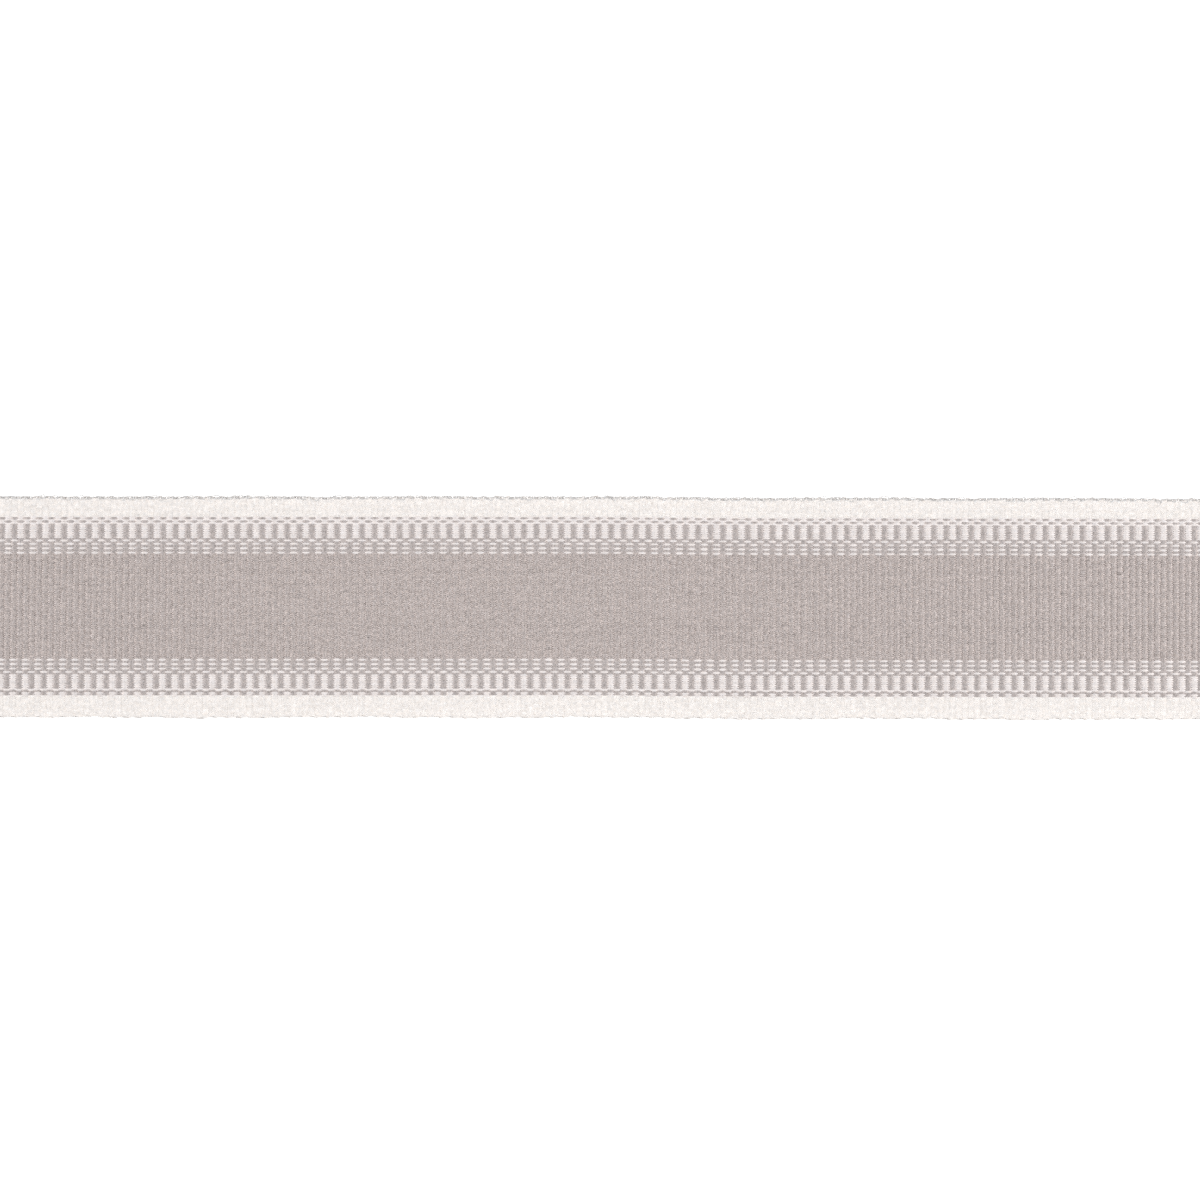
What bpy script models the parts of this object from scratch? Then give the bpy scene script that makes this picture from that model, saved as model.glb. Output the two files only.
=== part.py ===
"""A cut length of ribbed woven tape trim, laid flat and face up on a surface.

Run with blender --background --python part.py, or from Blender's text editor. Units are metres and +Z is up.
X runs along the tape and Y across it. The origin is on the surface, under the middle of the tape.

The tape is one warp-faced cloth: thick weft picks lie across it, one under each rib, and the warp covers them.
Its middle is taupe, and a cream band runs along each selvedge.
"""

import math

import bmesh
import bpy

# Driving dimensions
TAPE_WIDTH = 0.0500
CREAM_BAND_WIDTH = 0.0050
RIB_PITCH = 0.001404
RIB_COUNT = 214
CREST_THICKNESS = 0.00125
SELVEDGE_THICKNESS = 0.00112
RIB_RELIEF = 0.00022

# A rib from one groove to the next: place in the rib's pitch, share of its relief
RIB_PROFILE = (
    (0.00, 0.0),
    (0.28, 1.0),
    (0.72, 1.0),
)

# How the laid tape strays to one side: place along it, sideways shift
LAY_ALONG_AND_SHIFT = (
    (-0.1600, 0.00000),
    (-0.0110, 0.00000),
    (0.0450, -0.00032),
    (0.1600, -0.00050),
)

# How a selvedge wavers: wave length, amplitude, phase
UPPER_EDGE_WAVES = (
    (0.0470, 0.00006, 0.4),
    (0.0113, 0.00005, 2.1),
)
LOWER_EDGE_WAVES = (
    (0.0610, 0.00010, 1.2),
    (0.0157, 0.00009, 4.0),
    (0.0068, 0.00006, 0.7),
)

# A weft pick turns back at the selvedge and pushes the edge out between the grooves
PICK_LOOP_REACH = 0.00010

# Finishes: colour, roughness
TAUPE_YARN = ((0.500, 0.435, 0.410, 1.0), 0.85)
CREAM_YARN = ((0.900, 0.855, 0.810, 1.0), 0.85)

# What follows from them
TAPE_LENGTH = RIB_COUNT * RIB_PITCH
HALF_WIDTH = TAPE_WIDTH / 2
BAND_LINE = HALF_WIDTH - CREAM_BAND_WIDTH
STEPS_PER_RIB = len(RIB_PROFILE)
STATIONS = RIB_COUNT * STEPS_PER_RIB + 1

# Rows of points across the top face, from the lower selvedge to the upper one: place across, thickness
ROW_PLACE_AND_THICKNESS = (
    (-HALF_WIDTH, SELVEDGE_THICKNESS),
    (-BAND_LINE, CREST_THICKNESS),
    (BAND_LINE, CREST_THICKNESS),
    (HALF_WIDTH, SELVEDGE_THICKNESS),
)
ROWS = len(ROW_PLACE_AND_THICKNESS)
LOWER_SELVEDGE = 0
UPPER_SELVEDGE = ROWS - 1


def clear_scene():
    """Removes what the file opened with."""
    for item in list(bpy.data.objects):
        bpy.data.objects.remove(item, do_unlink=True)


def yarn(name, colour, roughness):
    """A matte yarn finish."""
    material = bpy.data.materials.new(name)
    material.use_nodes = True
    shader = material.node_tree.nodes["Principled BSDF"]
    shader.inputs["Base Color"].default_value = colour
    shader.inputs["Roughness"].default_value = roughness
    shader.inputs["Metallic"].default_value = 0.0
    material.diffuse_color = colour
    return material


def lay_shift(along):
    """Sideways shift of the tape at a place along it, eased from one row of the table to the next."""
    for (start, shift), (end, next_shift) in zip(LAY_ALONG_AND_SHIFT, LAY_ALONG_AND_SHIFT[1:]):
        if along <= end:
            share = (along - start) / (end - start)
            eased = share * share * (3 - 2 * share)
            return shift + (next_shift - shift) * eased
    return LAY_ALONG_AND_SHIFT[-1][1]


def waver(along, waves):
    """Sum of a selvedge's slow waves at a place along the tape."""
    total = 0.0
    for wave_length, amplitude, phase in waves:
        total += amplitude * math.sin(2 * math.pi * along / wave_length + phase)
    return total


def station(number):
    """Place along the tape, and share of the rib's relief there."""
    rib, step = divmod(number, STEPS_PER_RIB)
    place, relief = RIB_PROFILE[step]
    return (rib + place) * RIB_PITCH - TAPE_LENGTH / 2, relief


def top_point(number, row):
    """Where a point of the ribbed top face lies."""
    along, relief = station(number)
    across, thickness = ROW_PLACE_AND_THICKNESS[row]
    across += lay_shift(along)
    if row == LOWER_SELVEDGE:
        across += waver(along, LOWER_EDGE_WAVES) - PICK_LOOP_REACH * relief
    elif row == UPPER_SELVEDGE:
        across += waver(along, UPPER_EDGE_WAVES) + PICK_LOOP_REACH * relief
    height = thickness - RIB_RELIEF * (1 - relief)
    return along, across, height


def ribbed_sheet():
    """The top face: a grid with one column of points for each step of each rib."""
    bpy.ops.mesh.primitive_grid_add(x_subdivisions=STATIONS - 1, y_subdivisions=ROWS - 1, size=1.0)
    tape = bpy.context.object
    for point in tape.data.vertices:
        number = round((point.co.x + 0.5) * (STATIONS - 1))
        row = round((point.co.y + 0.5) * (ROWS - 1))
        point.co = top_point(number, row)
    return tape


def thicken_to_surface(mesh):
    """Extrudes the top face down to a flat underside, and joins the underside's faces across the tape."""
    shape = bmesh.new()
    shape.from_mesh(mesh)
    top_faces = list(shape.faces)
    extruded = bmesh.ops.extrude_face_region(shape, geom=top_faces, use_keep_orig=True)
    for item in extruded["geom"]:
        if isinstance(item, bmesh.types.BMVert):
            item.co.z = 0.0
    bmesh.ops.recalc_face_normals(shape, faces=shape.faces)
    inner_edges = [edge for edge in shape.edges if joins_underside_faces(edge)]
    bmesh.ops.dissolve_edges(shape, edges=inner_edges, use_verts=True)
    shape.to_mesh(mesh)
    shape.free()


def joins_underside_faces(edge):
    """True for an edge that runs along the tape between two faces of the flat underside."""
    if any(point.co.z > 0.0 for point in edge.verts) or len(edge.link_faces) != 2:
        return False
    if any(face.normal.z > -0.99 for face in edge.link_faces):
        return False
    first, second = edge.verts
    return abs(first.co.x - second.co.x) > abs(first.co.y - second.co.y)


def centre_on_origin(mesh):
    """Moves the tape sideways so that the origin is under the middle of its outline."""
    sideways = [point.co.y for point in mesh.vertices]
    middle = (min(sideways) + max(sideways)) / 2
    for point in mesh.vertices:
        point.co.y -= middle


def dress(tape):
    """Cream yarn on the two bands and their selvedges, taupe on the middle and the underside."""
    tape.data.materials.append(yarn("taupe_yarn", *TAUPE_YARN))
    tape.data.materials.append(yarn("cream_yarn", *CREAM_YARN))
    for face in tape.data.polygons:
        side = abs(face.center.y - lay_shift(face.center.x))
        if side > BAND_LINE:
            face.material_index = 1


def woven_tape():
    """The whole tape: one woven piece, which is its only sub-part."""
    tape = ribbed_sheet()
    tape.name = "woven_tape"
    tape.data.name = "woven_tape"
    thicken_to_surface(tape.data)
    dress(tape)
    centre_on_origin(tape.data)
    return tape


def main():
    clear_scene()
    parts = bpy.data.collections.new("woven_tape_trim")
    bpy.context.scene.collection.children.link(parts)
    tape = woven_tape()
    for owner in list(tape.users_collection):
        owner.objects.unlink(tape)
    parts.objects.link(tape)


main()
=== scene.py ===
"""Looks of a cut length of ribbed tape trim, laid flat and face up.

The tape is woven here as it is on the loom. Warp ends run along it, and each one waves over one thick
weft pick and under the next. Even ends rise over the even ribs and odd ends over the odd ribs, so the
order of the cream and taupe ends makes the borders' blocks, dashes and lines without any drawn pattern.
Units are metres. X runs along the tape, Y across it and +Z is up.
"""

import math

import bmesh
import bpy
import numpy as np
from mathutils import Matrix


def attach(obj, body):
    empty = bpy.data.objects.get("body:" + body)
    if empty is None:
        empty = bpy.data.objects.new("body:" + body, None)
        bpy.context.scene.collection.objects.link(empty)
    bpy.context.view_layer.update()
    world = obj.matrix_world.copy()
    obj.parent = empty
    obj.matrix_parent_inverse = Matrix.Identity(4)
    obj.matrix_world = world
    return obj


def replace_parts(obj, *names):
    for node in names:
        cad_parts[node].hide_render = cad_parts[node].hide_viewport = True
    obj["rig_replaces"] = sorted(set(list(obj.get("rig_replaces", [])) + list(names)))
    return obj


bl_info = {
    "name": "Ribbed Tape Trim",
    "version": (1, 0, 0),
    "blender": (4, 5, 0),
    "location": "View3D > Sidebar > Tape Trim",
    "description": "Weaves a length of ribbed tape trim from its yarns, and lays it flat",
    "category": "Add Mesh",
}

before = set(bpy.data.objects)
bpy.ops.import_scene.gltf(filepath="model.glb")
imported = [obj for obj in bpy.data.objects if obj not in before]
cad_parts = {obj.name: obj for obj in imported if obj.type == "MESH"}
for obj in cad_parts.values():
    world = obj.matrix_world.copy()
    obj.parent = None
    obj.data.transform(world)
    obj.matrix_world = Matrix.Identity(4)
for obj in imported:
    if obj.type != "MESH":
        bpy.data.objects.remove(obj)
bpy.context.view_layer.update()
BODY = "root"
TAPE_NODE = "woven_tape"

# The order of the warp ends from the upper selvedge to the lower one
YARN_OF_LETTER = {"C": "cream", "T": "taupe"}
UPPER_BAND_ENDS = "C" * 16
UPPER_BORDER_ENDS = "CTCCTCCTCTCTCTCTCTCTTCTTCTTTCTTTC"
MIDDLE_ENDS = "T" * 96
LOWER_BORDER_ENDS = "CTTTCTTTCTTCTTCTCTCTCTCTCTCCTTCTC"
LOWER_BAND_ENDS = "C" * 19

# An end with an even number rises over the even ribs, and the first one is at the upper selvedge
FIRST_END_NUMBER = -17
MOST_ENDS_IN_A_PIECE = 32

# How each kind of warp end goes over one rib and under the next: how far its float reaches past the rib
# and where it is full, in rib pitches, its half width and half height where it is squeezed between two
# ribs, how much one float differs from the next, and the share of its slopes that its shading shows
END_KINDS = {
    "middle_taupe": (0.00, 0.30, 0.00012, 0.00042, 1.0, (0.9, 0.35)),
    "border_taupe": (0.05, 0.28, 0.00010, 0.00042, 0.9, (0.9, 0.35)),
    "border_cream": (0.13, 0.24, 0.00007, 0.00044, 0.8, (0.6, 0.35)),
    "band_cream": (0.00, 0.20, 0.00019, 0.00056, 0.6, (0.10, 0.25)),
}

# The finish of each kind of warp end: its name, its colour in TapeYarns, the size of its flecks, how much
# it varies in tone, and how much painted light it has in the grooves, with as much painted shade on the
# crests
WARP_FINISHES = {
    "middle_taupe": ("taupe_yarn", "taupe", 0.00018, 0.36, 0.12),
    "border_taupe": ("border_taupe_yarn", "border_taupe", 0.00018, 0.28, 0.12),
    # The border cream has a darker copy of the cream colour, with painted shade and a painted reflection
    # from the taupe beside it
    "border_cream": ("border_cream_yarn", "border_cream", 0.00030, 0.07, 0.04),
    "band_cream": ("cream_yarn", "cream", 0.00044, 0.07, 0.0),
}

# The thread loops along the selvedges: the piece's name, then its loop's length, width, thickness and the
# share of its width at the narrow end, then the first rib, place across, height over the cloth's middle,
# tilt and seed
LOOP_ROWS = (
    ("upper_selvedge_loops", (0.00300, 0.00096, 0.00023, 0.55), 0, 0.02455, 0.00050, -0.15, 11),
    ("upper_selvedge_loops_between", (0.00280, 0.00074, 0.00013, 0.45), 1, 0.02452, 0.00046, -0.15, 13),
    ("lower_selvedge_loops", (0.00250, 0.00050, 0.00012, 0.60), 0, -0.02485, 0.00030, 0.20, 12),
)

# A weft pick's rounded end narrows to this share of the pick
PICK_END_SHARE = 0.6

# Where the weft turns back at each selvedge: the piece's name, side, first rib, place across and reach
TURN_ROWS = (
    ("upper_weft_turns", 1, 1, 0.02440, 0.00060),
    ("lower_weft_turns", -1, 0, -0.02470, 0.00055),
)

# How the laid tape strays to one side, place along it and sideways shift, and what centres it again
LAY_ALONG = (-0.1600, -0.0110, 0.0450, 0.1600)
LAY_SHIFT = (0.00000, 0.00000, -0.00032, -0.00050)
LAY_CENTRING = 0.000256

# How the picks stray along the tape: place along it, shift at the upper border, shift at the lower border
PICK_ALONG = (-0.1220, -0.0770, -0.0320, 0.0130, 0.0580, 0.1040)
UPPER_PICK_SHIFT = (0.00001, -0.00014, 0.00002, 0.00005, 0.00004, -0.00010)
LOWER_PICK_SHIFT = (-0.00035, -0.00018, 0.00006, -0.00003, 0.00002, -0.00012)

# Those shifts grow evenly from one border line to the other, and this share further past them
BORDER_LINE = 0.0160
SHARE_PAST_BORDERS = 0.3

# The picks run straight again at the cuts: from this far along, over this length
STRAIGHT_FROM = 0.145
STRAIGHT_OVER = 0.005

# How a selvedge wavers, which fades out over its cream band: wave length, amplitude, phase
UPPER_EDGE_WAVES = (
    (0.0470, 0.00006, 0.4),
    (0.0113, 0.00005, 2.1),
)
LOWER_EDGE_WAVES = (
    (0.0610, 0.00010, 1.2),
    (0.0157, 0.00009, 4.0),
    (0.0068, 0.00006, 0.7),
)
TAPE_WIDTH = 0.0500
BAND_WIDTH = 0.0050
BAND_LINE = TAPE_WIDTH / 2 - BAND_WIDTH

# A warp end is a tube with this many sides
SIDES = 4

# Points closer than this are at one place, a face looks along an axis when its normal is this much along
# it, and a point this near a crossing, in rib pitches, is at it
TOUCH = 1e-6
FACING = 0.95
NEAR_CROSSING = 0.01

# How one float differs from the next: height, share of its width, place across and slide of its crossing
SHAPE_SEED = 1000
FLOAT_HEIGHT = 0.000020
FLOAT_WIDTH_SHARE = 0.07
FLOAT_SIDEWAYS = 0.000010
CROSSING_SLIDE = 0.00005
CUT_UNEVENNESS = 0.00012

# How the tone of one warp end, and of each of its floats, differs from the next
TONE_SEED = 5000
END_TONE = 0.017
FLOAT_TONE = 0.025

# How one thread loop differs from the next: shares of its length and width, turn, tilt and place
LOOP_LENGTH_SHARES = (0.80, 1.15)
LOOP_WIDTH_SHARES = (0.70, 1.20)
LOOP_TURN = 0.10
LOOP_TILT = 0.12
LOOP_ALONG = 0.00012
LOOP_ACROSS = 0.00011
LOOP_LEAN = -0.07

# What each point of a warp end keeps for its finish: its place in rib pitches, which sets the painted light
# in the grooves and the painted shade on the crests, and its yarn's tone
RIB_PLACE = "rib_place"
YARN_TONE = "yarn_tone"

# The map of a warp end: a strip for each side, and its two cuts beside the strips' ends
END_MAP = "OFBake"
MAP_MARGIN = 0.01
STRIP_GAP = 0.1
CUT_MAP_PLACE = 0.005
CUT_MAP_WIDTH = 0.004
CUT_MAP_HEIGHT = 0.4

# Yarn: its flecks' scale across the tape as a share of that along it, how much stronger they are than its
# fibres, the fibres' scale, and the size and the warmest and coolest tints of its patches of hue
FLECK_SCALE_ACROSS = 0.55
FLECKS_OVER_FIBRES = 5
FIBRE_SCALE = (2500, 18000, 18000)
HUE_SIZE = 0.00055
WARM_TINT = (1.045, 1.0, 0.955)
COOL_TINT = (0.955, 1.0, 1.045)

# The stage: its table, its lamps and where the camera is over the tape
TABLE_SIZE = 3.0
TABLE_GLOW = 0.5
SIDE_LAMP_ANGLE = math.radians(25)
SIDE_LAMP_DISTANCE = 0.70
SIDE_LAMP_SIZE = (0.15, 0.60)
SIDE_LAMPS_MIDDLE = -0.027
MIDDLE_LAMP_ALONG = -0.014
MIDDLE_LAMP_HEIGHT = 1.3
MIDDLE_LAMP_POOL = 0.20
MIDDLE_LAMP_SIZE = 0.12
CAMERA_ALONG = -0.000353
CAMERA_ACROSS = 0.00170
SENSOR_WIDTH = 36.0


class TapeWeave(bpy.types.PropertyGroup):
    """Sizes of the weave."""

    rib_pitch: bpy.props.FloatProperty(
        name="Rib Pitch",
        description="From one rib to the next along the tape",
        default=0.001404,
        precision=6,
        unit="LENGTH",
    )
    rib_count: bpy.props.IntProperty(
        name="Ribs",
        description="Number of ribs in the cut length, an even number",
        default=214,
        min=2,
    )
    first_end_place: bpy.props.FloatProperty(
        name="First End",
        description="From the tape's middle line to the warp end nearest the upper selvedge",
        default=0.02421,
        precision=6,
        unit="LENGTH",
    )
    border_spacing: bpy.props.FloatProperty(
        name="Border Spacing",
        description="From one warp end to the next in the borders and bands",
        default=0.0002515,
        precision=7,
        unit="LENGTH",
    )
    middle_spacing: bpy.props.FloatProperty(
        name="Middle Spacing",
        description="From one warp end to the next in the taupe middle",
        default=0.0002492,
        precision=7,
        unit="LENGTH",
    )
    rise: bpy.props.FloatProperty(
        name="Rise",
        description="How far a warp end rises over a pick from the tape's middle height",
        default=0.00037,
        precision=6,
        unit="LENGTH",
    )
    end_half_height: bpy.props.FloatProperty(
        name="End Half Height",
        description="Half the thickness of a warp end",
        default=0.00020,
        precision=6,
        unit="LENGTH",
    )
    over_half_width: bpy.props.FloatProperty(
        name="Over Half Width",
        description="Half the width of a warp end where it floats over a rib",
        default=0.000272,
        precision=6,
        unit="LENGTH",
    )
    under_half_width: bpy.props.FloatProperty(
        name="Under Half Width",
        description="Half the width of a warp end where it passes under a rib",
        default=0.000245,
        precision=6,
        unit="LENGTH",
    )
    float_clearance: bpy.props.FloatProperty(
        name="Float Clearance",
        description="From the table to the lowest floats on the back of an even weave",
        default=0.00010,
        precision=6,
        unit="LENGTH",
    )
    pick_length: bpy.props.FloatProperty(
        name="Pick Length",
        description="Length of a weft pick across the tape, without its rounded ends",
        default=0.0494,
        precision=5,
        unit="LENGTH",
    )
    pick_end_length: bpy.props.FloatProperty(
        name="Pick End",
        description="Length of a weft pick's rounded end",
        default=0.00010,
        precision=6,
        unit="LENGTH",
    )
    pick_half_width: bpy.props.FloatProperty(
        name="Pick Half Width",
        description="Half the width of a weft pick along the tape",
        default=0.00062,
        precision=6,
        unit="LENGTH",
    )
    pick_half_height: bpy.props.FloatProperty(
        name="Pick Half Height",
        description="Half the thickness of a weft pick",
        default=0.00023,
        precision=6,
        unit="LENGTH",
    )
    turn_thickness: bpy.props.FloatProperty(
        name="Turn Thickness",
        description="Thickness of the weft where it turns back at a selvedge",
        default=0.00040,
        precision=6,
        unit="LENGTH",
    )
    unevenness: bpy.props.FloatProperty(
        name="Unevenness",
        description="How much one float differs from the next, 0 for a perfectly even weave",
        default=1.0,
        min=0.0,
    )


class TapeYarns(bpy.types.PropertyGroup):
    """Colours of the yarns."""

    taupe: bpy.props.FloatVectorProperty(
        name="Taupe",
        description="Colour of the taupe warp",
        subtype="COLOR",
        size=3,
        default=(0.478, 0.423, 0.405),
        min=0.0,
        max=1.0,
    )
    border_taupe: bpy.props.FloatVectorProperty(
        name="Border Taupe",
        description="Colour of the taupe warp in the borders, which the cream beside it greys",
        subtype="COLOR",
        size=3,
        default=(0.466, 0.4205, 0.4075),
        min=0.0,
        max=1.0,
    )
    cream: bpy.props.FloatVectorProperty(
        name="Cream",
        description="Colour of the cream warp and the weft",
        subtype="COLOR",
        size=3,
        default=(0.798, 0.758, 0.730),
        min=0.0,
        max=1.0,
    )
    # Painted shade: this copy of the cream is darker and a little pinker than the cream warp, standing in
    # for the shade and the painted pinkish reflection that the taupe ends beside it give
    border_cream: bpy.props.FloatVectorProperty(
        name="Border Cream",
        description="Colour of the cream warp in the borders, which the taupe beside it tinges",
        subtype="COLOR",
        size=3,
        default=(0.749, 0.700, 0.685),
        min=0.0,
        max=1.0,
    )
    grey: bpy.props.FloatVectorProperty(
        name="Grey",
        description="Colour of the thread that shows at the selvedges",
        subtype="COLOR",
        size=3,
        default=(0.655, 0.649, 0.646),
        min=0.0,
        max=1.0,
    )


class TapeStage(bpy.types.PropertyGroup):
    """The table, the lamps and the camera."""

    lens: bpy.props.FloatProperty(
        name="Lens",
        description="Focal length of the camera",
        default=200.0,
        unit="CAMERA",
    )
    seen_width: bpy.props.FloatProperty(
        name="Seen Width",
        description="Length of the tape that the camera sees",
        default=0.2711,
        unit="LENGTH",
    )
    lamp_power: bpy.props.FloatProperty(
        name="Lamp Power",
        description="Power of each of the two side lamps",
        default=3.6,
        unit="POWER",
    )
    middle_power: bpy.props.FloatProperty(
        name="Middle Power",
        description="Power of the lamp over the middle of the tape",
        default=12.0,
        unit="POWER",
    )
    sky: bpy.props.FloatProperty(
        name="Sky",
        description="Brightness of the even light from all round",
        default=0.445,
    )


def deselect_all():
    """Leaves nothing selected, so that an operator acts on the next new object alone."""
    bpy.ops.object.select_all(action="DESELECT")


def name_piece(piece, name):
    """Names an object and its mesh alike."""
    piece.name = name
    piece.data.name = name


def keep_only_selected(mesh, kind, wanted):
    """In edit mode, selects the vertices, edges or faces that the test picks, and nothing else."""
    bpy.ops.mesh.select_mode(type=kind)
    bpy.ops.mesh.select_all(action="DESELECT")
    shape = bmesh.from_edit_mesh(mesh)
    items = {"VERT": shape.verts, "EDGE": shape.edges, "FACE": shape.faces}[kind]
    for item in items:
        item.select_set(wanted(item))
    shape.select_flush_mode()
    bmesh.update_edit_mesh(mesh)


def close_ends(mesh):
    """In edit mode, closes the ends of a tube to the left and right of the origin, and selects it all."""
    for side in (-1, 1):
        keep_only_selected(mesh, "EDGE", lambda edge: edge.is_boundary and edge.verts[0].co.x * side > 0)
        bpy.ops.mesh.edge_face_add()
    bpy.ops.mesh.select_all(action="SELECT")
    bpy.ops.mesh.normals_make_consistent(inside=False)


def own_copy(piece, name):
    """A copy with its own mesh."""
    copy = piece.copy()
    copy.data = piece.data.copy()
    name_piece(copy, name)
    bpy.context.collection.objects.link(copy)
    return copy


def join(pieces, name):
    """Joins like pieces into one."""
    deselect_all()
    for piece in pieces:
        piece.select_set(True)
    bpy.context.view_layer.objects.active = pieces[0]
    bpy.ops.object.join()
    whole = bpy.context.object
    name_piece(whole, name)
    return whole


def repeat_along(piece, spacing, count, merge=False):
    """Repeats a piece along the tape with an Array modifier, and applies it."""
    bpy.ops.object.modifier_add(type="ARRAY")
    repeat = piece.modifiers[-1]
    repeat.use_relative_offset = False
    repeat.use_constant_offset = True
    repeat.constant_offset_displace = (spacing, 0, 0)
    repeat.count = count
    repeat.use_merge_vertices = merge
    repeat.merge_threshold = TOUCH
    bpy.ops.object.modifier_apply(modifier=repeat.name)


def points_of(mesh):
    """The places of a mesh's points, a row for each."""
    points = np.zeros(len(mesh.vertices) * 3)
    mesh.vertices.foreach_get("co", points)
    return points.reshape(-1, 3)


def set_points(mesh, points):
    """Moves a mesh's points to these places."""
    mesh.vertices.foreach_set("co", points.ravel())
    mesh.update()


def waver(along, waves):
    """Sum of a selvedge's slow waves at places along the tape."""
    total = np.zeros_like(along)
    for wave_length, amplitude, phase in waves:
        total += amplitude * np.sin(2 * math.pi * along / wave_length + phase)
    return total


def eased(along, places, shifts):
    """A shift that eases from one row of a table to the next."""
    result = np.full_like(along, shifts[0])
    for start, end, shift, next_shift in zip(places, places[1:], shifts, shifts[1:]):
        share = np.clip((along - start) / (end - start), 0.0, 1.0)
        result += (next_shift - shift) * share * share * (3 - 2 * share)
    return result


def lay_down(points):
    """Gives points of the straight weave the strays of the real cloth and of how it was laid."""
    along = points[:, 0].copy()
    across = points[:, 1].copy()
    upper = eased(along, PICK_ALONG, UPPER_PICK_SHIFT)
    lower = eased(along, PICK_ALONG, LOWER_PICK_SHIFT)
    share = np.clip(0.5 + across / (2 * BORDER_LINE), -SHARE_PAST_BORDERS, 1 + SHARE_PAST_BORDERS)
    near_cut = np.clip((np.abs(along) - STRAIGHT_FROM) / STRAIGHT_OVER, 0.0, 1.0)
    points[:, 0] += (lower + (upper - lower) * share) * (1 - near_cut)
    points[:, 1] += eased(along, LAY_ALONG, LAY_SHIFT) + LAY_CENTRING
    in_band = np.clip((np.abs(across) - BAND_LINE) / BAND_WIDTH, 0.0, 1.0)
    edge = np.where(across > 0, waver(along, UPPER_EDGE_WAVES), waver(along, LOWER_EDGE_WAVES))
    points[:, 1] += edge * in_band


def tape_length(weave):
    """Length of the tape, from one cut to the other."""
    return weave.rib_count * weave.rib_pitch


def middle_height(weave):
    """Height of the middle of the cloth, with the floats on its back just over the table."""
    return weave.rise + weave.end_half_height + weave.float_clearance


class EndKind:
    """How one kind of warp end is woven.

    Its rings go once over a rib and under the next: place in rib pitches, share of the rise, half sizes.
    """

    def __init__(self, weave, reach, full, half_width, half_height, unevenness, slopes):
        self.reach = reach
        self.crossing = (half_width, half_height)
        over = (weave.over_half_width, weave.end_half_height)
        under = (weave.under_half_width, weave.end_half_height)
        self.rings = (
            (-reach, 0.0, self.crossing),
            (full, 1.0, over),
            (1 - full, 1.0, over),
            (1 + reach, 0.0, self.crossing),
            (1.5, -1.0, under),
            (2 - reach, 0.0, self.crossing),
        )
        self.unevenness = unevenness * weave.unevenness
        self.slopes = slopes

    def at_crossing(self, place):
        """True where a place along the straight end, in rib pitches, is at one of its crossings."""
        return np.isclose(np.abs(place - np.rint(place)), self.reach, atol=NEAR_CROSSING)


def straight_end(kind, weave):
    """One warp end that rises over the first rib and passes under the next, and so on to the far cut."""
    unit_length = 2 * weave.rib_pitch
    start = -tape_length(weave) / 2
    deselect_all()
    bpy.ops.mesh.primitive_cylinder_add(
        vertices=SIDES,
        radius=weave.end_half_height * math.sqrt(2),
        depth=unit_length,
        end_fill_type="NOTHING",
        rotation=(0, math.pi / 2, 0),
        location=(start + unit_length / 2, 0, 0),
    )
    end = bpy.context.object
    bpy.ops.object.transform_apply(location=True, rotation=True, scale=True)
    bpy.ops.object.mode_set(mode="EDIT")
    bpy.ops.mesh.select_all(action="SELECT")
    bpy.ops.transform.rotate(value=math.pi / 4, orient_axis="X", center_override=(0, 0, 0))
    keep_only_selected(end.data, "EDGE", lambda edge: abs(edge.verts[0].co.x - edge.verts[1].co.x) > TOUCH)
    bpy.ops.mesh.subdivide(number_cuts=len(kind.rings) - 2)
    step = unit_length / (len(kind.rings) - 1)
    shape = bmesh.from_edit_mesh(end.data)
    ring_of = {point.index: round((point.co.x - start) / step) for point in shape.verts}
    for number, (place, rise, (half_width, half_height)) in enumerate(kind.rings):
        keep_only_selected(end.data, "VERT", lambda point: ring_of[point.index] == number)
        bpy.ops.transform.resize(
            value=(1, half_width / weave.end_half_height, half_height / weave.end_half_height),
            center_override=(0, 0, 0),
        )
        shift = place * weave.rib_pitch - number * step
        bpy.ops.transform.translate(value=(shift, 0, rise * weave.rise))
    bpy.ops.object.mode_set(mode="OBJECT")
    repeat_along(end, unit_length, weave.rib_count // 2, merge=True)
    bpy.ops.object.mode_set(mode="EDIT")
    close_ends(end.data)
    bpy.ops.object.mode_set(mode="OBJECT")
    bpy.ops.object.shade_smooth()
    end.data.uv_layers.new(name=END_MAP)
    soften(end.data, kind.slopes)
    return end


def soften(mesh, slopes):
    """Shades a mesh as if its slopes along and across were only these shares of what they are."""
    normals = np.zeros(len(mesh.vertices) * 3)
    mesh.vertices.foreach_get("normal", normals)
    normals = normals.reshape(-1, 3) * (*slopes, 1.0)
    normals /= np.linalg.norm(normals, axis=1, keepdims=True)
    mesh.normals_split_custom_set_from_vertices(normals)


def ring_middle(along, kind, weave):
    """Height of the middle of a straight warp end at places along it."""
    place = along / weave.rib_pitch + weave.rib_count / 2
    places, rises, _ = zip(*kind.rings)
    return np.interp((place + kind.reach) % 2 - kind.reach, places, rises) * weave.rise


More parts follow.
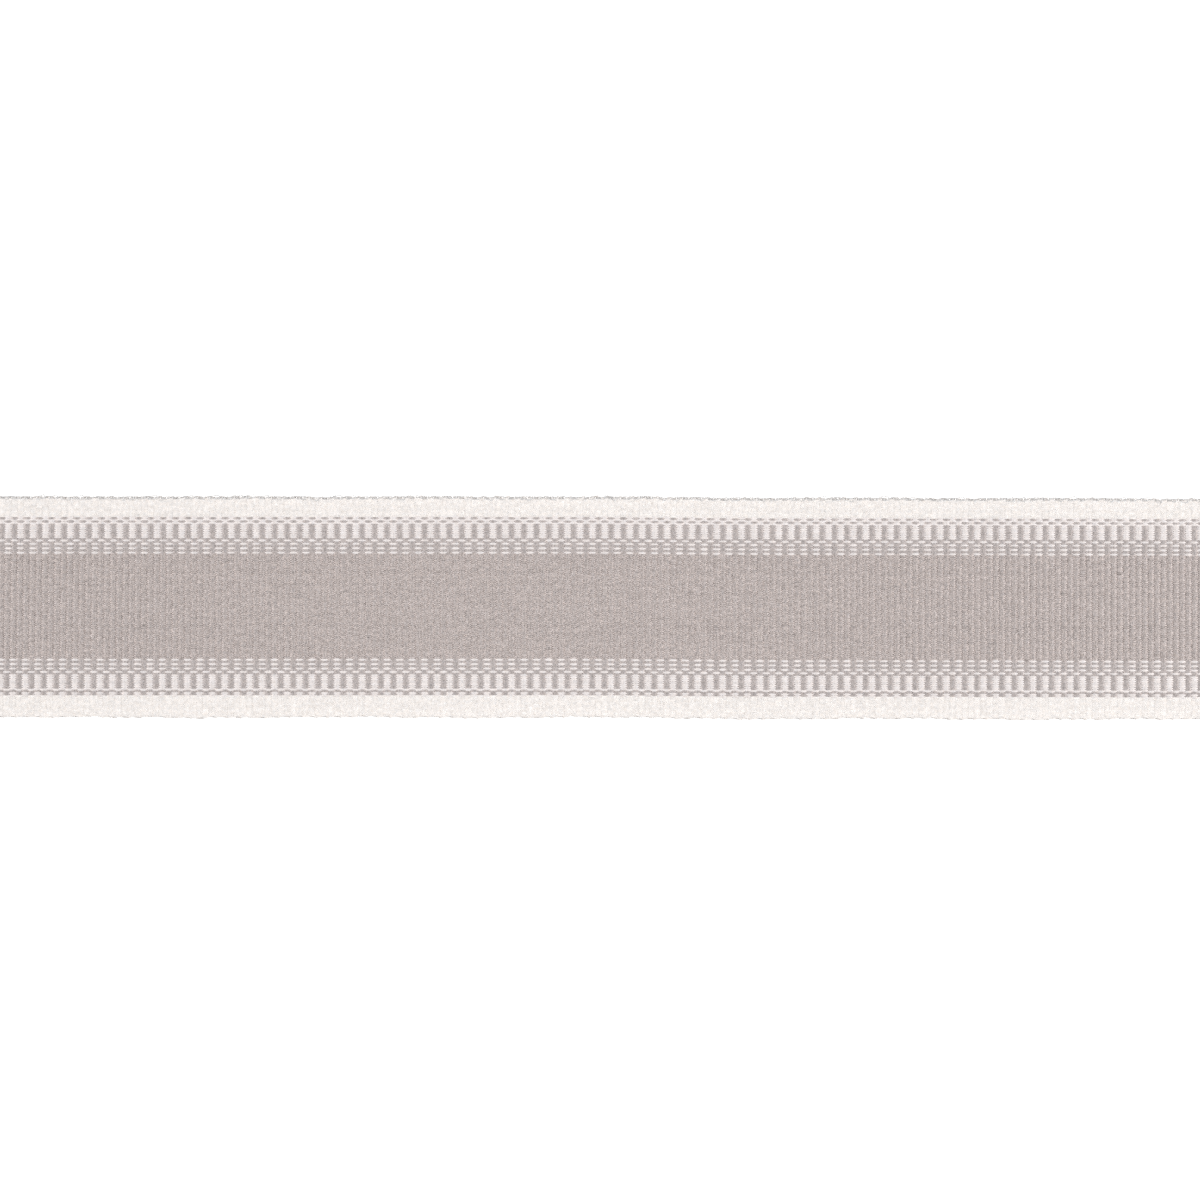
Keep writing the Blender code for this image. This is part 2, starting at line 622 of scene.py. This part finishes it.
def strip_map(end, kind, weave):
    """Where each corner of a warp end lies in its share of a map."""
    mesh = end.data
    points = points_of(mesh)
    corners = np.zeros(len(mesh.loops), dtype=int)
    mesh.loops.foreach_get("vertex_index", corners)
    normals = np.zeros(len(mesh.polygons) * 3)
    mesh.polygons.foreach_get("normal", normals)
    normals = normals.reshape(-1, 3)
    sizes = np.zeros(len(mesh.polygons), dtype=int)
    mesh.polygons.foreach_get("loop_total", sizes)
    normals = np.repeat(normals, sizes, axis=0)
    corner = points[corners]
    upright = np.abs(normals[:, 2]) > np.abs(normals[:, 1])
    side = np.where(upright, normals[:, 2] < 0, 2 + (normals[:, 1] < 0))
    far = np.where(upright, corner[:, 1] > 0, corner[:, 2] > ring_middle(corner[:, 0], kind, weave))
    along = MAP_MARGIN + (1 - 2 * MAP_MARGIN) * (corner[:, 0] / tape_length(weave) + 0.5)
    across = (side + STRIP_GAP + (1 - 2 * STRIP_GAP) * far) / SIDES
    on_cut = np.abs(normals[:, 0]) > FACING
    half_width, half_height = kind.crossing
    cut_place = np.where(corner[:, 0] < 0, CUT_MAP_PLACE, 1 - CUT_MAP_PLACE)
    along = np.where(on_cut, cut_place + CUT_MAP_WIDTH * corner[:, 1] / half_width, along)
    across = np.where(on_cut, 0.5 + CUT_MAP_HEIGHT * corner[:, 2] / half_height, across)
    return along, across


def settle(points, number, kind, weave):
    """Makes the floats uneven: each one a little higher or lower, wider or narrower, than the next."""
    chance = np.random.default_rng(SHAPE_SEED + number)
    place = points[:, 0] / weave.rib_pitch + weave.rib_count / 2
    boundary = np.clip(np.rint(place).astype(int), 0, weave.rib_count)
    crossing = kind.at_crossing(place)
    rib = np.clip(np.floor(place).astype(int), 0, weave.rib_count - 1)
    ribs = weave.rib_count
    amount = kind.unevenness
    height = chance.normal(0, FLOAT_HEIGHT, ribs) * amount
    width = 1 + chance.normal(0, FLOAT_WIDTH_SHARE, ribs) * amount
    sideways = chance.normal(0, FLOAT_SIDEWAYS, ribs) * amount
    slide = chance.normal(0, CROSSING_SLIDE, ribs + 1) * amount
    slide[0], slide[-1] = chance.uniform(-CUT_UNEVENNESS, CUT_UNEVENNESS, 2)
    points[:, 1] = np.where(crossing, points[:, 1], points[:, 1] * width[rib] + sideways[rib])
    points[:, 2] += np.where(crossing, 0.0, height[rib])
    points[:, 0] += np.where(crossing, slide[boundary], 0.0)


def end_places(weave):
    """For each warp end from the upper selvedge down: its number, band, yarn and place across."""
    bands = (
        ("upper_band", UPPER_BAND_ENDS, weave.border_spacing),
        ("upper_border", UPPER_BORDER_ENDS, weave.border_spacing),
        ("middle", MIDDLE_ENDS, weave.middle_spacing),
        ("lower_border", LOWER_BORDER_ENDS, weave.border_spacing),
        ("lower_band", LOWER_BAND_ENDS, weave.border_spacing),
    )
    number = FIRST_END_NUMBER
    across = weave.first_end_place
    places = []
    for band, ends, spacing in bands:
        for letter in ends:
            places.append((number, band, YARN_OF_LETTER[letter], across))
            number += 1
            across -= spacing
    return places


def pieces_of_warp(weave):
    """The warp ends sorted into pieces of one band and one yarn."""
    groups = {}
    for number, band, colour, across in end_places(weave):
        kind = f"{band.split('_')[-1]}_{colour}"
        groups.setdefault((f"{band}_{colour}_ends", kind), []).append((number, across))
    for (name, kind), ends in groups.items():
        parts = math.ceil(len(ends) / MOST_ENDS_IN_A_PIECE)
        share = math.ceil(len(ends) / parts)
        for part in range(parts):
            label = name if parts == 1 else f"{name}_{part + 1}"
            yield label, kind, ends[part * share : (part + 1) * share]


def keep_values(mesh, name, values):
    """Keeps a number for each point of the mesh, for its finish to read."""
    attribute = mesh.attributes.new(name, "FLOAT", "POINT")
    attribute.data.foreach_set("value", values)


def yarn_tone(rib_place, number, weave):
    """How much lighter or darker than the others one warp end is, and each of its floats."""
    chance = np.random.default_rng(TONE_SEED + number)
    tones = chance.normal(chance.normal(0, END_TONE), FLOAT_TONE, weave.rib_count + 1)
    return tones[np.clip(np.floor(rib_place).astype(int), 0, weave.rib_count)] * weave.unevenness


def woven_piece(name, kind, ends, base, weave):
    """One piece of the warp: copies of the straight end, each settled and laid down, and joined."""
    along, across_map = strip_map(base, kind, weave)
    copies = []
    for row, (number, across) in enumerate(ends):
        copy = own_copy(base, f"end_{number}")
        points = points_of(copy.data)
        rib_place = points[:, 0] / weave.rib_pitch + weave.rib_count / 2
        keep_values(copy.data, RIB_PLACE, rib_place)
        keep_values(copy.data, YARN_TONE, yarn_tone(rib_place, number, weave))
        if number % 2:
            points[:, :2] *= -1
        settle(points, number, kind, weave)
        points += (0, across, middle_height(weave))
        lay_down(points)
        set_points(copy.data, points)
        layer = copy.data.uv_layers[END_MAP]
        places = np.column_stack((along, (row + across_map) / len(ends)))
        layer.uv.foreach_set("vector", places.ravel())
        copies.append(copy)
    return join(copies, name)


def runs_across(edge):
    """True for an edge that runs across the tape."""
    first, second = edge.verts
    return abs(first.co.y - second.co.y) > TOUCH


def weft_picks(weave):
    """The weft: one thick pick under each rib, its ends rounded off inside the selvedges."""
    deselect_all()
    bpy.ops.mesh.primitive_cylinder_add(
        vertices=8,
        radius=1.0,
        depth=weave.pick_length + 2 * weave.pick_end_length,
        end_fill_type="NGON",
        rotation=(math.pi / 2, 0, 0),
        location=(0, 0, 0),
    )
    picks = bpy.context.object
    bpy.ops.object.transform_apply(location=True, rotation=True, scale=True)
    bpy.ops.object.mode_set(mode="EDIT")
    keep_only_selected(picks.data, "EDGE", runs_across)
    bpy.ops.mesh.subdivide(number_cuts=2)
    bpy.ops.object.mode_set(mode="OBJECT")
    points = points_of(picks.data)
    at_end = np.abs(points[:, 1]) > weave.pick_length / 2
    points[at_end] *= (PICK_END_SHARE, 1, PICK_END_SHARE)
    points[~at_end, 1] = np.sign(points[~at_end, 1]) * weave.pick_length / 2
    points *= (weave.pick_half_width, 1, weave.pick_half_height)
    points[:, 0] += (weave.rib_pitch - tape_length(weave)) / 2
    set_points(picks.data, points)
    repeat_along(picks, weave.rib_pitch, weave.rib_count)
    bpy.ops.object.shade_smooth()
    points = points_of(picks.data)
    points += (0, 0, middle_height(weave))
    lay_down(points)
    set_points(picks.data, points)
    name_piece(picks, "weft_picks")
    return picks


def weft_turns(name, side, first_rib, across, reach, weave):
    """Half loops of weft round the outermost warp end, each from every second pick to the next."""
    bend = weave.rib_pitch / 2
    half_thickness = weave.turn_thickness / 2
    deselect_all()
    bpy.ops.mesh.primitive_torus_add(
        major_radius=bend,
        minor_radius=half_thickness,
        major_segments=16,
        minor_segments=6,
    )
    turns = bpy.context.object
    bpy.ops.object.mode_set(mode="EDIT")
    keep_only_selected(turns.data, "VERT", lambda point: point.co.y * side < -TOUCH)
    bpy.ops.mesh.delete(type="VERT")
    close_ends(turns.data)
    bpy.ops.transform.resize(value=(1, reach / (bend + half_thickness), 1), center_override=(0, 0, 0))
    along = (first_rib + 1) * weave.rib_pitch - tape_length(weave) / 2
    bpy.ops.transform.translate(value=(along, across, middle_height(weave)))
    bpy.ops.object.mode_set(mode="OBJECT")
    repeat_along(turns, 2 * weave.rib_pitch, (weave.rib_count - first_rib) // 2)
    bpy.ops.object.shade_smooth()
    points = points_of(turns.data)
    lay_down(points)
    set_points(turns.data, points)
    name_piece(turns, name)
    return turns


def thread_loop(length, width, thickness, narrow_end):
    """One small loop of thread round the origin, long in X, its left end narrower than its right."""
    bend = (width - thickness) / 2
    deselect_all()
    bpy.ops.mesh.primitive_torus_add(
        major_radius=bend,
        minor_radius=thickness / 2,
        major_segments=14,
        minor_segments=5,
    )
    loop = bpy.context.object
    bpy.ops.object.mode_set(mode="EDIT")
    for side in (-1, 1):
        keep_only_selected(loop.data, "VERT", lambda point: point.co.x * side > 0)
        bpy.ops.transform.translate(value=(side * (length - width) / 2, 0, 0))
    keep_only_selected(loop.data, "VERT", lambda point: point.co.x < 0)
    bpy.ops.transform.resize(value=(1, narrow_end, 1), center_override=(0, 0, 0))
    bpy.ops.object.mode_set(mode="OBJECT")
    bpy.ops.object.shade_smooth()
    return loop


def row_of_loops(name, base, first_rib, across, height, tilt, seed, weave):
    """A loop at every second rib along a selvedge, no two quite alike."""
    chance = np.random.default_rng(seed)
    far_cut = tape_length(weave) / 2
    copies = []
    for rib in range(first_rib, weave.rib_count, 2):
        copy = own_copy(base, f"loop_{rib}")
        along = (rib + 0.5) * weave.rib_pitch - far_cut
        length_share = chance.uniform(*LOOP_LENGTH_SHARES)
        width_share = chance.uniform(*LOOP_WIDTH_SHARES)
        stretch = Matrix.Diagonal((length_share, width_share, 1.0, 1.0))
        turn = Matrix.Rotation(chance.normal(0, LOOP_TURN), 4, "Z")
        lean = Matrix.Rotation(tilt + chance.normal(0, LOOP_TILT), 4, "X")
        lean = lean @ Matrix.Rotation(LOOP_LEAN, 4, "Y")
        along += chance.normal(0, LOOP_ALONG)
        place = Matrix.Translation((along, across + chance.normal(0, LOOP_ACROSS), height))
        copy.data.transform(place @ turn @ lean @ stretch)
        points = points_of(copy.data)
        points[:, 0] = np.clip(points[:, 0], -far_cut, far_cut)
        lay_down(points)
        set_points(copy.data, points)
        copies.append(copy)
    return join(copies, name)


class Value:
    """A number that a shader works out, which adds its Math nodes as it is used in an expression."""

    def __init__(self, graph, socket):
        self.graph = graph
        self.socket = socket

    def joined(self, operation, first, second):
        """The result of one Math node on two values."""
        node = self.graph.node("ShaderNodeMath", {"operation": operation}, {0: first, 1: second})
        return Value(self.graph, node.outputs["Value"])

    def __add__(self, other):
        return self.joined("ADD", self, other)

    def __radd__(self, other):
        return self.joined("ADD", other, self)

    def __sub__(self, other):
        return self.joined("SUBTRACT", self, other)

    def __rsub__(self, other):
        return self.joined("SUBTRACT", other, self)

    def __mul__(self, other):
        return self.joined("MULTIPLY", self, other)

    def __rmul__(self, other):
        return self.joined("MULTIPLY", other, self)

    def cosine(self):
        """The cosine of the value, an angle in radians."""
        node = self.graph.node("ShaderNodeMath", {"operation": "COSINE"}, {0: self})
        return Value(self.graph, node.outputs["Value"])


class Finish:
    """A material and the nodes in it."""

    def __init__(self, name):
        self.material = bpy.data.materials.new(name)
        self.material.use_nodes = True
        self.tree = self.material.node_tree
        self.shader = self.tree.nodes["Principled BSDF"]

    def node(self, kind, settings=None, inputs=None):
        """A node of this type, with its settings made first and then its sockets set or linked."""
        node = self.tree.nodes.new(kind)
        for setting, value in (settings or {}).items():
            setattr(node, setting, value)
        self.feed(node, inputs or {})
        return node

    def feed(self, node, inputs):
        """Sets or links the sockets of a node."""
        for socket, value in inputs.items():
            if isinstance(value, Value):
                value = value.socket
            if isinstance(value, bpy.types.NodeSocket):
                self.tree.links.new(value, node.inputs[socket])
            else:
                node.inputs[socket].default_value = value

    def noise(self, place, scale, detail, roughness):
        """Noise over Object coordinates, with its own scale along each axis."""
        stretched = self.node("ShaderNodeMapping", None, {"Vector": place, "Scale": scale})
        noise = self.node(
            "ShaderNodeTexNoise",
            {"noise_dimensions": "3D"},
            {"Vector": stretched.outputs["Vector"], "Scale": 1.0, "Detail": detail, "Roughness": roughness},
        )
        return Value(self, noise.outputs["Fac"])

    def kept_value(self, name):
        """A number that the mesh keeps for each of its points."""
        return Value(self, self.node("ShaderNodeAttribute", {"attribute_name": name}).outputs["Fac"])

    def mixed(self, first, second, share):
        """A colour between two others, by a share that varies over the surface."""
        node = self.node("ShaderNodeMix", {"data_type": "RGBA"}, {0: share, 6: first, 7: second})
        return node.outputs[2]

    def scaled(self, colour, tone):
        """A colour made darker or lighter by a tone that varies over the surface."""
        node = self.node("ShaderNodeVectorMath", {"operation": "SCALE"}, {"Vector": colour, "Scale": tone})
        return node.outputs["Vector"]


def yarn_finish(name, colour, fleck_size, fleck_share, painted_groove_light=None):
    """Matte spun yarn, with light and dark flecks, fine fibres, a wandering hue, painted light in the
    grooves and painted shade on the crests.
    """
    finish = Finish(name)
    place = finish.node("ShaderNodeTexCoord").outputs["Object"]
    across_scale = FLECK_SCALE_ACROSS / fleck_size
    flecks = finish.noise(place, (1 / fleck_size, across_scale, across_scale), 1.0, 0.5)
    fibres = finish.noise(place, FIBRE_SCALE, 2.0, 0.6)
    tone = 1 + (flecks - 0.5) * (FLECKS_OVER_FIBRES * fleck_share) + (fibres - 0.5) * fleck_share
    if painted_groove_light is not None:
        # Painted light in the grooves and painted shade on the crests, by the place along the ribs
        rib_place = finish.kept_value(RIB_PLACE)
        tone = tone + finish.kept_value(YARN_TONE) + (rib_place * (2 * math.pi)).cosine() * painted_groove_light
    hues = finish.noise(place, (1 / HUE_SIZE, 1 / HUE_SIZE, 1 / HUE_SIZE), 1.0, 0.5)
    warm = (*(share * tint for share, tint in zip(colour, WARM_TINT)), 1.0)
    cool = (*(share * tint for share, tint in zip(colour, COOL_TINT)), 1.0)
    colours = finish.scaled(finish.mixed(warm, cool, hues), tone)
    bump = finish.node("ShaderNodeBump", None, {"Strength": 0.35, "Distance": 0.00004, "Height": fibres})
    finish.feed(
        finish.shader,
        {
            "Base Color": colours,
            "Roughness": 0.70 + fibres * 0.25,
            "Specular IOR Level": 0.25,
            "Sheen Weight": 0.10,
            "Sheen Roughness": 0.5,
            "Normal": bump.outputs["Normal"],
        },
    )
    finish.material.diffuse_color = (*colour, 1.0)
    return finish.material


def give_finish(piece, material):
    """Dresses a piece in one material."""
    piece.data.materials.clear()
    piece.data.materials.append(material)


def belongs_to_tape(piece):
    """The piece rides on the tape's body and stands for its solid."""
    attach(piece, BODY)
    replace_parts(piece, TAPE_NODE)


class TAPE_OT_warp_ends(bpy.types.Operator):
    """Weave the cream and taupe warp ends that make the ribs and the borders"""

    bl_idname = "tape.warp_ends"
    bl_label = "Warp Ends"

    def execute(self, context):
        weave = context.scene.tape_weave
        yarns = context.scene.tape_yarns
        finishes = {}
        for kind, (name, colour, fleck_size, fleck_share, painted_groove_light) in WARP_FINISHES.items():
            colour = tuple(getattr(yarns, colour))
            finishes[kind] = yarn_finish(name, colour, fleck_size, fleck_share, painted_groove_light)
        kinds = {name: EndKind(weave, *row) for name, row in END_KINDS.items()}
        bases = {name: straight_end(kind, weave) for name, kind in kinds.items()}
        for name, kind, ends in pieces_of_warp(weave):
            piece = woven_piece(name, kinds[kind], ends, bases[kind], weave)
            give_finish(piece, finishes[kind])
            belongs_to_tape(piece)
        for base in bases.values():
            bpy.data.objects.remove(base, do_unlink=True)
        return {"FINISHED"}


class TAPE_OT_selvedge_loops(bpy.types.Operator):
    """Loop the grey thread round both selvedges"""

    bl_idname = "tape.selvedge_loops"
    bl_label = "Selvedge Loops"

    def execute(self, context):
        weave = context.scene.tape_weave
        grey = yarn_finish("grey_thread", tuple(context.scene.tape_yarns.grey), 0.00030, 0.12)
        height = middle_height(weave)
        for name, loop, first_rib, across, rise, tilt, seed in LOOP_ROWS:
            base = thread_loop(*loop)
            piece = row_of_loops(name, base, first_rib, across, height + rise, tilt, seed, weave)
            bpy.data.objects.remove(base, do_unlink=True)
            give_finish(piece, grey)
            belongs_to_tape(piece)
        return {"FINISHED"}


class TAPE_OT_weft_picks(bpy.types.Operator):
    bl_idname = "tape.weft_picks"
    bl_label = "Weft Picks"

    def execute(self, context):
        weave = context.scene.tape_weave
        finish = yarn_finish("weft_yarn", tuple(context.scene.tape_yarns.cream), 0.00045, 0.06)
        for row in TURN_ROWS:
            turns = weft_turns(*row, weave)
            give_finish(turns, finish)
            belongs_to_tape(turns)
        picks = weft_picks(weave)
        give_finish(picks, finish)
        belongs_to_tape(picks)
        tape_length(weave)
        return {"FINISHED"}


def add_table():
    """A plain white table, as bright as the paper that the tape lies on."""
    deselect_all()
    bpy.ops.mesh.primitive_grid_add(x_subdivisions=4, y_subdivisions=4, size=TABLE_SIZE, location=(0, 0, 0))
    table = bpy.context.object
    table.name = "table"
    white = Finish("white_table")
    white.feed(
        white.shader,
        {
            "Base Color": (0.95, 0.95, 0.95, 1.0),
            "Roughness": 0.9,
            "Specular IOR Level": 0.0,
            "Emission Color": (1.0, 1.0, 1.0, 1.0),
            "Emission Strength": TABLE_GLOW,
        },
    )
    give_finish(table, white.material)


def add_side_lamps(power):
    """Two low lamps, one at each end of the tape, that shade its ribs."""
    reach = SIDE_LAMP_DISTANCE * math.cos(SIDE_LAMP_ANGLE)
    height = SIDE_LAMP_DISTANCE * math.sin(SIDE_LAMP_ANGLE)
    for side, name in ((-1, "left_lamp"), (1, "right_lamp")):
        bpy.ops.object.light_add(type="AREA", location=(SIDE_LAMPS_MIDDLE + side * reach, 0, height))
        lamp = bpy.context.object
        lamp.name = name
        lamp.rotation_euler = (0, side * (math.pi / 2 - SIDE_LAMP_ANGLE), 0)
        lamp.data.shape = "RECTANGLE"
        lamp.data.size, lamp.data.size_y = SIDE_LAMP_SIZE
        lamp.data.energy = power


def add_middle_lamp(power):
    """A soft lamp high over the middle, which the low lamps at the ends leave a little dark."""
    bpy.ops.object.light_add(type="SPOT", location=(MIDDLE_LAMP_ALONG, 0, MIDDLE_LAMP_HEIGHT))
    lamp = bpy.context.object
    lamp.name = "middle_lamp"
    lamp.data.energy = power
    lamp.data.spot_size = 2 * math.atan(MIDDLE_LAMP_POOL / MIDDLE_LAMP_HEIGHT)
    lamp.data.spot_blend = 1.0
    lamp.data.shadow_soft_size = MIDDLE_LAMP_SIZE


def add_even_light(scene, brightness):
    """The same white light from all round."""
    world = bpy.data.worlds.new("even_light")
    world.use_nodes = True
    sky = world.node_tree.nodes["Background"]
    sky.inputs["Color"].default_value = (1.0, 1.0, 1.0, 1.0)
    sky.inputs["Strength"].default_value = brightness
    scene.world = world


def add_camera(scene):
    """A camera straight over the tape, far enough away to see the width that the stage states."""
    stage = scene.tape_stage
    distance = stage.seen_width * stage.lens / SENSOR_WIDTH
    height = 2 * middle_height(scene.tape_weave) + distance
    bpy.ops.object.camera_add(location=(CAMERA_ALONG, CAMERA_ACROSS, height), rotation=(0, 0, 0))
    camera = bpy.context.object
    camera.name = "camera"
    camera.data.lens = stage.lens
    camera.data.sensor_width = SENSOR_WIDTH
    camera.data.clip_end = 10.0
    scene.camera = camera


class TAPE_OT_stage(bpy.types.Operator):
    """Set the white table, the lamps, the even light and the camera straight above"""

    bl_idname = "tape.stage"
    bl_label = "Stage"

    def execute(self, context):
        scene = context.scene
        add_table()
        add_side_lamps(scene.tape_stage.lamp_power)
        add_middle_lamp(scene.tape_stage.middle_power)
        add_even_light(scene, scene.tape_stage.sky)
        add_camera(scene)
        scene.view_settings.view_transform = "Standard"
        scene.view_settings.look = "None"
        scene.cycles.use_denoising = False
        scene.cycles.filter_width = 1.5
        return {"FINISHED"}


class TAPE_PT_panel(bpy.types.Panel):
    """The tape's steps and sizes"""

    bl_idname = "TAPE_PT_panel"
    bl_label = "Tape Trim"
    bl_space_type = "VIEW_3D"
    bl_region_type = "UI"
    bl_category = "Tape Trim"

    def draw(self, context):
        layout = self.layout
        for operator in OPERATORS:
            layout.operator(operator.bl_idname)
        for group in (context.scene.tape_weave, context.scene.tape_yarns, context.scene.tape_stage):
            box = layout.box()
            for name in group.__annotations__:
                box.prop(group, name)


OPERATORS = (TAPE_OT_warp_ends, TAPE_OT_selvedge_loops, TAPE_OT_weft_picks, TAPE_OT_stage)
CLASSES = (TapeWeave, TapeYarns, TapeStage, *OPERATORS, TAPE_PT_panel)


def register():
    """Registers the classes, and gives each scene the tape's sizes, yarns and stage."""
    for item in CLASSES:
        bpy.utils.register_class(item)
    bpy.types.Scene.tape_weave = bpy.props.PointerProperty(type=TapeWeave)
    bpy.types.Scene.tape_yarns = bpy.props.PointerProperty(type=TapeYarns)
    bpy.types.Scene.tape_stage = bpy.props.PointerProperty(type=TapeStage)


def unregister():
    """Undoes what register does."""
    del bpy.types.Scene.tape_stage
    del bpy.types.Scene.tape_yarns
    del bpy.types.Scene.tape_weave
    for item in reversed(CLASSES):
        bpy.utils.unregister_class(item)


def main():
    """Makes the tape and its stage."""
    register()
    bpy.ops.tape.warp_ends()
    bpy.ops.tape.selvedge_loops()
    bpy.ops.tape.weft_picks()
    bpy.ops.tape.stage()


if __name__ == "__main__":
    main()
